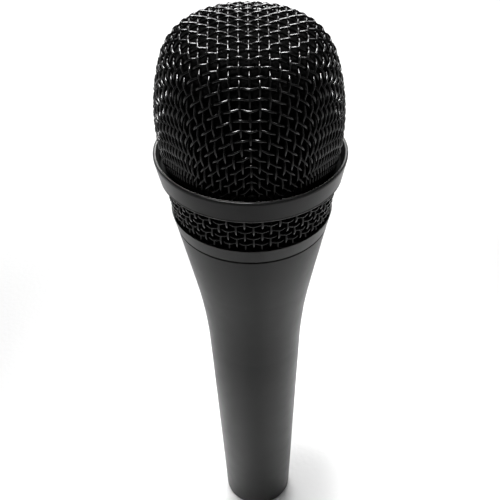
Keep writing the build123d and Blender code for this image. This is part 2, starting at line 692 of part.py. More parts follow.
def bend_radii(points):
    """The largest radius that each corner's two runs allow."""
    radii = []
    for before, here, after in zip(points, points[1:], points[2:]):
        into, out = Vector(*here) - Vector(*before), Vector(*after) - Vector(*here)
        turn = radians(into.get_angle(out))
        radii.append(0.45 * min(into.length, out.length) / tan(turn / 2))
    return radii


lead_plan = {
    "lead_hot": (LUG_PLACES[1], pin_places()[1], 3.4),
    "lead_cold": (LUG_PLACES[0], pin_places()[2], -3.0),
}
for name, (lug, cup, sway) in lead_plan.items():
    route = lead_route(lug, cup, sway)
    radii = bend_radii(route)
    with BuildPart() as lead:
        with BuildLine() as lead_line:
            FilletPolyline(*route, radius=radii)
        with BuildSketch(Plane(origin=lead_line.line @ 0, z_dir=lead_line.line % 0)):
            Circle(LEAD_RADIUS)
        sweep()
    finish(lead.part, name)
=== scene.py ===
"""Looks of the handheld dynamic microphone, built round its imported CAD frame.

Metres, in the CAD's frame: +Z runs up the microphone from the centre of its tail, -Y is the front.
The dome and the skirt under the belt are woven here wire by wire, the foams, felts, cloth, rubber and
leads are modelled as soft pieces, and every piece gets a procedural finish.
"""

from math import cos, pi, radians, sin

import bmesh
import bpy
import numpy as np
from mathutils import Euler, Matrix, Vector, noise


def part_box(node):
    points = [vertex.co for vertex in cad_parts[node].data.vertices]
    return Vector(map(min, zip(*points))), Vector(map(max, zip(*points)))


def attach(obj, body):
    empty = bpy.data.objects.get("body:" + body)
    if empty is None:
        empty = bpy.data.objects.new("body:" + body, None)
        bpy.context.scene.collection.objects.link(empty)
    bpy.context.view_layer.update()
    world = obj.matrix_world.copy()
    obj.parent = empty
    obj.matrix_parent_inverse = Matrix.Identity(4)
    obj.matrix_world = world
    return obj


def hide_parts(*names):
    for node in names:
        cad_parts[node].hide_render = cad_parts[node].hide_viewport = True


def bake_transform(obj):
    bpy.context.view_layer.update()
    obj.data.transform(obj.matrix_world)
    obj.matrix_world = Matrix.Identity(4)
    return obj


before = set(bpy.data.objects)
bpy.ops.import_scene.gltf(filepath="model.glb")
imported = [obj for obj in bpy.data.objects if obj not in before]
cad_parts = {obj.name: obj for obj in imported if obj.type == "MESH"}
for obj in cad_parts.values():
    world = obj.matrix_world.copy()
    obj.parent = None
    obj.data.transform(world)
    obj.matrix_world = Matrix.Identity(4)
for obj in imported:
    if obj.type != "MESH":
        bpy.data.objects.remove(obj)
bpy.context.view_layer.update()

MM = 0.001

# ---- Woven wire ------------------------------------------------------------------------------------
WIRE_RADIUS = 0.28 * MM
CRIMP = 0.28 * MM  # how far a wire swings either side of the cloth's middle surface
WIRE_SIDES = 8
SAMPLES_PER_PITCH = 5  # points on a wire's centre line from one crossing to the next

# How far apart the wires lie once the cloth is pressed over its form, in millimetres: (distance down
# from the crown, pitch). The crown stretches most. The crossings on the four lines straight down from
# the crown crowd together towards the foot, which makes the other wires droop away from them.
PITCH_ALONG_X = ((0, 2.17), (12, 2.15), (20, 2.08), (50, 2.08))
PITCH_ALONG_Y = ((0, 2.32), (12, 2.3), (15, 2.04), (22, 2.12), (50, 2.12))
CROWDED_ALONG_X = ((0, 2.17), (12, 2.15), (20, 2.08), (30, 2.0), (36, 1.93), (50, 1.9))
CROWDED_ALONG_Y = (
    (0, 2.32),
    (12, 2.3),
    (15, 2.02),
    (18, 2.05),
    (22, 2.12),
    (27, 2.04),
    (30, 1.86),
    (33, 1.84),
    (36, 1.93),
    (50, 1.9),
)

DOME_LOW, DOME_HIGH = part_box("dome_mesh")
DOME_TOP = DOME_HIGH.z
DOME_FOOT = DOME_LOW.z + 0.1 * MM  # the wires are cut off just above the shell's foot
# The dome's outline, the CAD shell's three tangent arcs with the last drawn on past its foot: (radius,
# angle) from the crown down
DOME_ARCS = ((59.7 * MM, radians(11.4)), (11.0 * MM, radians(58.4)), (44.8 * MM, radians(36.0)))
# How the wires gather at the four lines: (distance down from the crown in millimetres, how far they lean
# in towards the line in radians) and (the same distance, how far they droop between lines in millimetres)
GATHER_LEAN = ((26, 0), (31, 0.015), (34, 0.024), (38, 0.035), (43, 0.045), (50, 0.05))
GATHER_DROOP = ((24, 0), (32, 0.5), (36, 1.0), (40, 1.7), (43, 2.2), (50, 3.0))
GATHER_REACH = 0.25  # how far round from those lines the droop builds up, in radians
DOME_HEART = 0.152  # height of a point on the axis that sees the whole dome
WEAVE_SHIFT = radians(2.0)  # how far the cloth sat off the dome's centre, towards the back
LOCK_ANGLE = radians(20.0)  # the narrowest angle that crossing wires shear to
SPARE_CLOTH = 2.5 * MM  # how far the cloth is laid out past the dome's foot, before it is trimmed there
SPARE_LINE = 3 * MM  # how much further the four lines run than that
RELAX_ROUNDS = 400
FEWEST_CROSSINGS = 3  # a wire with fewer is left out


class DomeSurface:
    """The middle surface of the dome's wire cloth, as a table of (radius, height) down from the crown."""

    def __init__(self, inset, steps=4000):
        turn = sum(angle for _, angle in DOME_ARCS)
        self.slope = np.linspace(0, turn, steps)
        self.radius = np.empty(steps)
        self.height = np.empty(steps)
        centre = np.array([0.0, DOME_TOP - DOME_ARCS[0][0]])
        start = 0.0
        for index, (bend, angle) in enumerate(DOME_ARCS):
            rows = self.slope >= start
            self.radius[rows] = centre[0] + (bend - inset) * np.sin(self.slope[rows])
            self.height[rows] = centre[1] + (bend - inset) * np.cos(self.slope[rows])
            start += angle
            if index + 1 < len(DOME_ARCS):
                centre = centre + (bend - DOME_ARCS[index + 1][0]) * np.array([sin(start), cos(start)])
        steps_along = np.hypot(np.diff(self.radius), np.diff(self.height))
        self.arc = np.concatenate([[0], np.cumsum(steps_along)])
        self.bearing = np.arctan2(self.radius, self.height - DOME_HEART)
        self.reach = np.hypot(self.radius, self.height - DOME_HEART)

    def _bearing_of(self, points):
        """Angle from straight up at which the dome's heart sees each point."""
        return np.arctan2(np.hypot(points[..., 0], points[..., 1]), points[..., 2] - DOME_HEART)

    def project(self, points):
        """Points moved along lines from the dome's heart on to the surface."""
        heart = np.array([0, 0, DOME_HEART])
        away = points - heart
        scale = np.interp(self._bearing_of(points), self.bearing, self.reach) / np.linalg.norm(away, axis=-1)
        return heart + away * scale[..., None]

    def arc_at(self, points):
        """Length along the surface from the crown down to each point."""
        return np.interp(self._bearing_of(points), self.bearing, self.arc)

    def at_arc(self, lengths):
        """(radius, height) at lengths down from the crown."""
        return np.interp(lengths, self.arc, self.radius), np.interp(lengths, self.arc, self.height)

    def normals(self, points):
        """Outward unit normals at points on the surface."""
        slope = np.interp(self._bearing_of(points), self.bearing, self.slope)
        around = np.arctan2(points[..., 1], points[..., 0])
        return np.stack([np.sin(slope) * np.cos(around), np.sin(slope) * np.sin(around), np.cos(slope)], -1)


def pitch_at(arc, table):
    """The wires' pitch at a distance down from the crown, in metres."""
    distances, widths = np.array(table).T * MM
    return np.interp(arc, distances, widths)


def steps_down(table, reach):
    """Distances of the crossings along a meridian, from the crown to just past a reach."""
    places = [0.0]
    while places[-1] < reach:
        places.append(places[-1] + float(pitch_at(places[-1], table)))
    return np.array(places)


def drape_quadrant(surface, arc_limit):
    """Lays one quarter of a woven cloth over the dome.

    Returns the crossings' places [i, j] and which of them exist. Crossings (i, 0) and (0, j) run down
    the meridians, and each other one lies a pitch from both neighbours that come before it.
    """
    lines = CROWDED_ALONG_X, CROWDED_ALONG_Y
    down_x, down_y = (steps_down(table, arc_limit + SPARE_LINE) for table in lines)
    spots = np.zeros((len(down_x), len(down_y), 3))
    exists = np.zeros(spots.shape[:2], bool)
    radius, height = surface.at_arc(down_x)
    spots[:, 0] = np.stack([radius, 0 * radius, height], -1)
    radius, height = surface.at_arc(down_y)
    spots[0, :] = np.stack([0 * radius, radius, height], -1)
    exists[:, 0] = exists[0, :] = True
    edges = spots[:, 0].copy(), spots[0, :].copy()
    for i in range(1, len(down_x)):
        for j in range(1, len(down_y)):
            before, left, right = spots[i - 1, j - 1], spots[i - 1, j], spots[i, j - 1]
            if not (exists[i - 1, j] and exists[i, j - 1]):
                continue
            middle = (left + right) / 2
            arc = float(surface.arc_at(middle))
            if arc > arc_limit:
                continue
            pitch = (pitch_at(arc, PITCH_ALONG_X) + pitch_at(arc, PITCH_ALONG_Y)) / 2
            half = max(np.linalg.norm(left - right) / 2, pitch * sin(LOCK_ANGLE / 2))
            onward = (middle - before) / np.linalg.norm(middle - before)
            spots[i, j] = surface.project(middle + onward * np.sqrt(max(pitch**2 - half**2, 0)))
            exists[i, j] = True
    relax(surface, spots, exists, edges)
    exists &= surface.arc_at(spots) < arc_limit
    return gathered(surface, spots), exists


def relax(surface, spots, exists, edges):
    """Evens out the wires' pitch, and keeps sheared cells open by at least the lock angle."""
    later, sooner = slice(1, None), slice(None, -1)
    every = slice(None)
    springs = (
        ((later, every), (sooner, every), (PITCH_ALONG_X,)),
        ((every, later), (every, sooner), (PITCH_ALONG_Y,)),
        ((later, sooner), (sooner, later), (PITCH_ALONG_X, PITCH_ALONG_Y)),
        ((later, later), (sooner, sooner), (PITCH_ALONG_X, PITCH_ALONG_Y)),
    )
    for _ in range(RELAX_ROUNDS):
        moves = np.zeros_like(spots)
        counts = np.zeros(exists.shape)
        arcs = surface.arc_at(spots)
        for one, other, tables in springs:
            span = spots[one] - spots[other]
            length = np.maximum(np.linalg.norm(span, axis=-1), 1e-9)  # never zero
            wanted = sum(pitch_at((arcs[one] + arcs[other]) / 2, table) for table in tables)
            used = exists[one] & exists[other]
            if len(tables) == 2:
                wanted = wanted * sin(LOCK_ANGLE / 2)
                used &= length < wanted
            half_move = (np.where(used, (length - wanted) / length, 0) * 0.5)[..., None] * span
            moves[one] -= half_move
            moves[other] += half_move
            counts[one] += used
            counts[other] += used
        spots[:] = surface.project(spots + moves / np.maximum(counts, 1)[..., None])
        spots[:, 0], spots[0, :] = edges


def gathered(surface, spots):
    """Leans the wires in towards the lines straight down from the crown, and droops them between those."""
    arc = surface.arc_at(spots)
    around = np.arctan2(spots[..., 0], spots[..., 1])
    lean = np.interp(arc / MM, *zip(*GATHER_LEAN))
    droop = np.interp(arc / MM, *zip(*GATHER_DROOP)) * MM
    nearest_line = np.minimum(around, pi / 2 - around)
    around = around - lean * np.sin(4 * around)
    radius, height = surface.at_arc(arc + droop * (1 - np.exp(-np.maximum(nearest_line, 0) / GATHER_REACH)))
    return np.stack([radius * np.sin(around), radius * np.cos(around), height], -1)


def mirrored(quarter):
    """A quarter indexed [i, j] from the middle out, as a whole indexed [i + n, j + m]."""
    along_x, along_y = (np.abs(np.arange(1 - count, count)) for count in quarter.shape[:2])
    return quarter[along_x[:, None], along_y[None, :]].copy()


def whole_cloth(surface, arc_limit):
    """The four mirrored quarters, shifted a little to the back."""
    quarter, exists = drape_quadrant(surface, arc_limit)
    spots = mirrored(quarter)
    spots[: len(quarter) - 1, :, 0] *= -1
    spots[:, : quarter.shape[1] - 1, 1] *= -1
    away = spots - np.array([0, 0, DOME_HEART])
    y, z = away[..., 1].copy(), away[..., 2].copy()
    away[..., 1] = y * cos(WEAVE_SHIFT) + z * sin(WEAVE_SHIFT)
    away[..., 2] = z * cos(WEAVE_SHIFT) - y * sin(WEAVE_SHIFT)
    return surface.project(away + np.array([0, 0, DOME_HEART])), mirrored(exists)


def smooth_through(knots, samples, closed=False):
    """Points on a smooth curve through knots, samples of them from each knot to the next."""
    if closed:
        padded = np.concatenate([knots[-1:], knots, knots[:2]])
    else:
        padded = np.concatenate([2 * knots[:1] - knots[1:2], knots, 2 * knots[-1:] - knots[-2:-1]])
    t = (np.arange(samples) / samples)[None, :, None]
    a, b, c, d = (padded[k : len(padded) - 3 + k][:, None, :] for k in range(4))
    curve = 0.5 * (2 * b + (c - a) * t + (2 * a - 5 * b + 4 * c - d) * t**2 + (3 * b - a - 3 * c + d) * t**3)
    curve = curve.reshape(-1, knots.shape[1])
    return curve if closed else np.concatenate([curve, knots[-1:]])


def crimped(knots, first_sign, project, normals, closed=False):
    """A wire's centre line, over one crossing and under the next, with its normals and its swing.

    The swing is 1 where the wire is on top, and -1 where it is underneath.
    """
    middle = project(smooth_through(knots, SAMPLES_PER_PITCH, closed))
    up = normals(middle)
    swing = first_sign * np.cos(pi * np.arange(len(middle)) / SAMPLES_PER_PITCH)
    return middle + up * (CRIMP * swing)[:, None], up, swing


def tube_mesh(name, wires, closed=False, thickness=WIRE_RADIUS, sides=WIRE_SIDES):
    """One mesh of round wires, each given as (centre line, normals, swing). Its swing is an attribute."""
    angles = 2 * pi * np.arange(sides) / sides
    vertices, quads, caps, swings = [], [], [], []
    total = 0
    for line, up, swing in wires:
        if closed:
            along = np.roll(line, -1, 0) - np.roll(line, 1, 0)
        else:
            along = np.gradient(line, axis=0)
        along /= np.linalg.norm(along, axis=1)[:, None]
        side = np.cross(along, up)
        side /= np.linalg.norm(side, axis=1)[:, None]
        out = np.cross(side, along)
        rings = out[:, None] * np.cos(angles)[:, None] + side[:, None] * np.sin(angles)[:, None]
        vertices.append((line[:, None] + thickness * rings).reshape(-1, 3))
        swings.append(np.repeat(swing, sides))
        n = len(line)
        ring = np.arange(n if closed else n - 1)[:, None]
        after = (ring + 1) % n
        k = np.arange(sides)[None, :]
        k_next = (k + 1) % sides
        corners = (ring * sides + k, after * sides + k, after * sides + k_next, ring * sides + k_next)
        quads.append(total + np.stack(corners, -1).reshape(-1, 4))
        if not closed:
            caps.append((total + np.arange(sides)).tolist())
            caps.append((total + (n - 1) * sides + np.arange(sides))[::-1].tolist())
        total += n * sides
    mesh = bpy.data.meshes.new(name)
    mesh.from_pydata(np.concatenate(vertices).tolist(), [], np.concatenate(quads).tolist() + caps)
    mesh.polygons.foreach_set("use_smooth", [True] * len(mesh.polygons))
    swing_layer = mesh.attributes.new("swing", "FLOAT", "POINT")
    swing_layer.data.foreach_set("value", np.concatenate(swings).astype(np.float32))
    mesh.update()
    piece = bpy.data.objects.new(name, mesh)
    bpy.context.scene.collection.objects.link(piece)
    return piece


def dome_wires():
    """The dome's two sets of wires: those that run front to back, and those that run side to side."""
    surface = DomeSurface(WIRE_RADIUS + CRIMP)
    foot_arc = np.interp(-DOME_FOOT, -surface.height, surface.arc)
    spots, exists = whole_cloth(surface, foot_arc + SPARE_CLOTH)
    middle = [count // 2 for count in exists.shape]
    sets = []
    for side_to_side in (False, True):
        rows = spots.swapaxes(0, 1) if side_to_side else spots
        there = exists.T if side_to_side else exists
        wires = []
        for index in range(len(rows)):
            found = np.flatnonzero(there[index])
            if len(found) < FEWEST_CROSSINGS:
                continue
            # the wire that runs side to side lies on top where the two middle wires cross
            sign = (-1) ** (found[0] + index + sum(middle) + (not side_to_side))
            knots = rows[index, found[0] : found[-1] + 1]
            line, up, swing = crimped(knots, sign, surface.project, surface.normals)
            kept = np.flatnonzero(line[:, 2] > DOME_FOOT)
            if len(kept) > 2:  # a tube needs at least three points
                inside = slice(kept[0], kept[-1] + 1)
                wires.append((line[inside], up[inside], swing[inside]))
        sets.append(wires)
    return sets


# The skirt's wire cloth: a cone between the collar's slot and the belt
SKIRT_LOW, SKIRT_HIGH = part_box("skirt_mesh")
SKIRT_COLUMNS = 64  # upright wires
SKIRT_FOOT_RADIUS = 20.35 * MM
SKIRT_INSET = WIRE_RADIUS + CRIMP  # from the skirt's outside to the middle of its cloth
SKIRT_TURN = 0.1  # how far right of the front the upright nearest to it stands, in columns
# The hoops' heights; the lowest is in the collar's slot
HOOP_LEVELS = np.array((132.2, 134.73, 136.76, 138.8, 140.85, 142.9, 144.4)) * MM


def skirt_wires():
    """The skirt's upright wires and its hoops."""
    height = SKIRT_HIGH.z - SKIRT_LOW.z
    spread = SKIRT_HIGH.x - SKIRT_FOOT_RADIUS
    slant = np.hypot(height, spread)
    outward, upward = height / slant, -spread / slant

    def spot(around, z):
        radius = SKIRT_FOOT_RADIUS - SKIRT_INSET + (z - SKIRT_LOW.z) / height * spread
        return np.stack([radius * np.cos(around), radius * np.sin(around), z + 0 * around], -1)

    def project(points):
        return spot(np.arctan2(points[:, 1], points[:, 0]), points[:, 2])

    def normals(points):
        around = np.arctan2(points[:, 1], points[:, 0])
        return np.stack([outward * np.cos(around), outward * np.sin(around), upward + 0 * around], -1)

    columns = -pi / 2 + (np.arange(SKIRT_COLUMNS) + SKIRT_TURN) * 2 * pi / SKIRT_COLUMNS
    uprights = [
        crimped(spot(np.full(len(HOOP_LEVELS), around), HOOP_LEVELS), -((-1) ** k), project, normals)
        for k, around in enumerate(columns)
    ]
    hoops = [
        crimped(spot(columns, np.full(SKIRT_COLUMNS, z)), (-1) ** k, project, normals, closed=True)
        for k, z in enumerate(HOOP_LEVELS)
    ]
    return uprights, hoops


front_back, side_side = dome_wires()
dome_warp = tube_mesh("dome_wires_front_to_back", front_back)
dome_weft = tube_mesh("dome_wires_side_to_side", side_side)
uprights, hoops = skirt_wires()
skirt_warp = tube_mesh("skirt_wires_upright", uprights)
skirt_weft = tube_mesh("skirt_wires_hoops", hoops, closed=True)
for piece in (dome_warp, dome_weft, skirt_warp, skirt_weft):
    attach(piece, "grille")
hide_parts("dome_mesh")
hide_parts("dome_mesh")
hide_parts("skirt_mesh")
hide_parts("skirt_mesh")


# ---- Soft pieces -----------------------------------------------------------------------------------
WELD_DISTANCE = 0.002 * MM
FOAM_CELL = 1.25 * MM
FOAM_CELL_EDGE = 0.55  # a dent's radius, in cells
FOAM_DENT = 0.4 * MM
FOAM_WAVE = 7 * MM
FOAM_SAG = 0.12 * MM
FELT_CLUMP = 0.8 * MM
FELT_FUZZ = 0.05 * MM
FELT_FRACTAL = (0.8, 2.0, 3)  # its dimension, lacunarity and octaves
THREAD_PITCH = 0.8 * MM
THREAD_HEIGHT = 0.05 * MM


def softened(outline, step, rounding):
    """An outline of (radius, height) corners with even steps and rounded corners.

    One that starts on the axis ends there too; any other closes on itself.
    """
    on_axis = outline[0][0] == 0
    loop = np.array(outline if on_axis else [*outline, outline[0]], float)
    along = np.concatenate([[0], np.cumsum(np.hypot(*np.diff(loop, axis=0).T))])
    places = np.linspace(0, along[-1], int(along[-1] / step) + 1)
    even = np.stack([np.interp(places, along, column) for column in loop.T], -1)
    reach = max(round(rounding / step), 1)
    if on_axis:  # both ends are mirrored across the axis, so that the piece is smooth there
        across = np.array([-1, 1])
        even = np.concatenate([even[reach:0:-1] * across, even, even[-2 : -reach - 2 : -1] * across])
    else:
        even = np.concatenate([even[-1 - reach : -1], even[:-1], even[:reach]])
    weights = np.hanning(2 * reach + 3)[1:-1]
    smooth = [np.convolve(column, weights / weights.sum(), "valid") for column in even.T]
    return np.stack(smooth, -1), on_axis


def turned_piece(name, outline, step, rounding, relief=None):
    """A soft ring or disc: an outline turned about Z.

    relief(point), if given, is how far the surface then stands out at a point.
    """
    profile, on_axis = softened(outline, step, rounding)
    slope = np.gradient(profile, axis=0) if on_axis else np.roll(profile, -1, 0) - np.roll(profile, 1, 0)
    slope /= np.linalg.norm(slope, axis=1)[:, None]
    swept = np.sum(profile[:, 0] * np.gradient(profile[:, 1]))  # above 0 where it runs anticlockwise
    facing = np.stack([slope[:, 1], -slope[:, 0]], -1) * np.sign(swept)
    columns = int(2 * pi * profile[:, 0].max() / step)
    around = 2 * pi * np.arange(columns) / columns
    wheel = np.stack([np.cos(around), np.sin(around)], -1)

    def turned(rows):
        flat = np.broadcast_to(rows[:, None, 1:], (len(rows), columns, 1))
        return np.concatenate([rows[:, None, :1] * wheel[None], flat], -1)

    points, outward = turned(profile), turned(facing)
    if relief:
        heights = np.array([relief(Vector(point)) for point in points.reshape(-1, 3)])
        points = points + outward * heights.reshape(points.shape[:2])[..., None]
    rows = np.arange(len(profile) - 1 if on_axis else len(profile))[:, None]
    after = (rows + 1) % len(profile)
    k = np.arange(columns)[None, :]
    k_next = (k + 1) % columns
    corners = (rows * columns + k, rows * columns + k_next, after * columns + k_next, after * columns + k)
    quads = np.stack(corners, -1)
    if swept < 0:
        quads = quads[..., ::-1]
    mesh = bpy.data.meshes.new(name)
    mesh.from_pydata(points.reshape(-1, 3).tolist(), [], quads.reshape(-1, 4).tolist())
    shape = bmesh.new()
    shape.from_mesh(mesh)
    bmesh.ops.remove_doubles(shape, verts=shape.verts, dist=WELD_DISTANCE)
    shape.to_mesh(mesh)
    shape.free()
    mesh.polygons.foreach_set("use_smooth", [True] * len(mesh.polygons))
    mesh.update()
    piece = bpy.data.objects.new(name, mesh)
    bpy.context.scene.collection.objects.link(piece)
    return piece


def porous(point):
    """Open-cell foam: round dents of broken cells on a slightly wavy face."""
    cell = noise.voronoi(point / FOAM_CELL)[0][0]
    wave = noise.noise(point / FOAM_WAVE)
    return -FOAM_DENT * max(0.0, 1 - (cell / FOAM_CELL_EDGE) ** 2) - FOAM_SAG * (0.5 + wave)


def fuzzy(point):
    """Matted fibres on a felt's face."""
    return FELT_FUZZ * noise.fractal(point / FELT_CLUMP, *FELT_FRACTAL) - FELT_FUZZ


def threaded(point):
    """A plain weave's threads, which pass over and under each other."""
    return THREAD_HEIGHT * (sin(2 * pi * point.x / THREAD_PITCH) * sin(2 * pi * point.y / THREAD_PITCH) - 1)


# the foam that lines the dome, just inside its wires
foam_low, foam_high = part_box("dome_foam")
FOAM_THICKNESS = 2.4 * MM
FOAM_FACE_POINTS = 200


def foam_face(inset):
    """The dome's outline at an inset, from the crown down to the foam's foot."""
    surface = DomeSurface(inset)
    foot = np.interp(-foam_low.z, -surface.height, surface.arc)
    return np.stack(surface.at_arc(np.linspace(0, foot, FOAM_FACE_POINTS)), -1)


outer_face = foam_face(DOME_TOP - foam_high.z)
inner_face = foam_face(DOME_TOP - foam_high.z + FOAM_THICKNESS)
dome_lining = turned_piece(
    "dome_foam_lining",
    [*outer_face.tolist(), *inner_face[::-1].tolist()],
    step=0.45 * MM,
    rounding=0.9 * MM,
    relief=porous,
)

# the foam behind the skirt's wires, which follows their cone
cone_low, cone_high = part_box("skirt_foam")
SKIRT_FOAM_INNER = 18.2 * MM
skirt_slope = (SKIRT_HIGH.x - SKIRT_FOOT_RADIUS) / (SKIRT_HIGH.z - SKIRT_LOW.z)
skirt_lining = turned_piece(
    "skirt_foam_lining",
    [
        (SKIRT_FOAM_INNER, cone_low.z),
        (cone_high.x - (cone_high.z - cone_low.z) * skirt_slope, cone_low.z),
        (cone_high.x, cone_high.z),
        (SKIRT_FOAM_INNER, cone_high.z),
    ],
    step=0.4 * MM,
    rounding=0.5 * MM,
    relief=porous,
)
for piece, node in ((dome_lining, "dome_foam"), (skirt_lining, "skirt_foam")):
    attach(piece, "foam_liner")
    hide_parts(node)

# the felts and the cloth screen of the capsule
soft_discs = {}
for name, node, inner, step, rounding, relief in (
    ("rear_felt_pad", "chamber_damper", 0, 0.35 * MM, 0.7 * MM, fuzzy),
    ("motor_felt_ring", "acoustic_felt", 10.85 * MM, 0.25 * MM, 0.25 * MM, fuzzy),
    ("front_cloth_screen", "front_screen", 0, 0.2 * MM, 0.2 * MM, threaded),
):
    low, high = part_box(node)
    disc = turned_piece(
        name, [(inner, low.z), (high.x, low.z), (high.x, high.z), (inner, high.z)], step, rounding, relief
    )
    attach(disc, "capsule")
    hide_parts(node)
    soft_discs[name] = disc

# the rubber ring that the capsule floats on: a U section, its inner lip on the capsule and its outer lip
# on the mount ring
rubber_low, rubber_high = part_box("shock_mount")
RUBBER_INNER = 11.55 * MM
RUBBER_WALL = 0.6 * MM
rubber_ring = turned_piece(
    "rubber_shock_ring",
    [
        (RUBBER_INNER, rubber_low.z),
        (rubber_high.x, rubber_low.z),
        (rubber_high.x, rubber_high.z),
        (rubber_high.x - RUBBER_WALL, rubber_high.z),
        (rubber_high.x - RUBBER_WALL, rubber_low.z + RUBBER_WALL),
        (RUBBER_INNER + RUBBER_WALL, rubber_low.z + RUBBER_WALL),
        (RUBBER_INNER + RUBBER_WALL, rubber_high.z),
        (RUBBER_INNER, rubber_high.z),
    ],
    step=0.22 * MM,
    rounding=0.22 * MM,
)
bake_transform(rubber_ring)
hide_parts("shock_mount")

# the capsule's two leads, from its lugs down to the pins' solder cups. Heights, and each one's (lug, cup,
# sway), are in millimetres; the route goes down by shares of the drop from the lugs to the cups' rims
LUG_END = 108.4
CUP_TOP = 28.8
CUP_FLOOR = 25.6
LEAD_RADIUS = 0.6 * MM
LEAD_SIDES = 16
LEAD_SAMPLES = 14  # points from one corner of the route to the next
LEAD_DROP = LUG_END - CUP_TOP
CUP_ENTRY = LUG_END - 0.94 * LEAD_DROP  # from here down a lead is straight
leads = {}
for name, lug, cup, sway in (
    ("lead_hot", (-3.2, 0.0), (-3.81, 2.032), 3.4),
    ("lead_cold", (3.2, 0.0), (0.0, -4.318), -3.0),
):
    route = (
        (lug[0], lug[1], LUG_END),
        (lug[0], lug[1], LUG_END - 0.05 * LEAD_DROP),
        (lug[0], lug[1], LUG_END - 0.10 * LEAD_DROP),
        (lug[0] * 0.8 + 0.5 * sway, 0.9 * sway, LUG_END - 0.28 * LEAD_DROP),
        (lug[0] * 0.2, sway, LUG_END - 0.47 * LEAD_DROP),
        (cup[0] - 0.4 * sway, 0.3 * sway, LUG_END - 0.66 * LEAD_DROP),
        (cup[0] - 0.2 * sway, cup[1] - 0.4 * sway, LUG_END - 0.83 * LEAD_DROP),
        (cup[0], cup[1], CUP_ENTRY),
        (cup[0], cup[1], (CUP_ENTRY + CUP_FLOOR) / 2),
        (cup[0], cup[1], CUP_FLOOR),
    )
    line = smooth_through(np.array(route) * MM, LEAD_SAMPLES)
    sideways = np.broadcast_to(np.array([0.0, 1.0, 0.0]), line.shape)
    wire = (line, sideways, np.zeros(len(line)))
    lead = tube_mesh(name + "_wire", [wire], thickness=LEAD_RADIUS, sides=LEAD_SIDES)
    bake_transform(lead)
    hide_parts(name)
    leads[name] = lead


# ---- Finishes --------------------------------------------------------------------------------------
WAVE_SCALE = 0.314  # a wave texture's scale for features one unit across
MOST_NOISE = (0.35, 0.65)  # most of a noise texture's values lie between these
GLOSS_PATCH = 0.37  # size of a mottled finish's gloss patches, against its colour patches


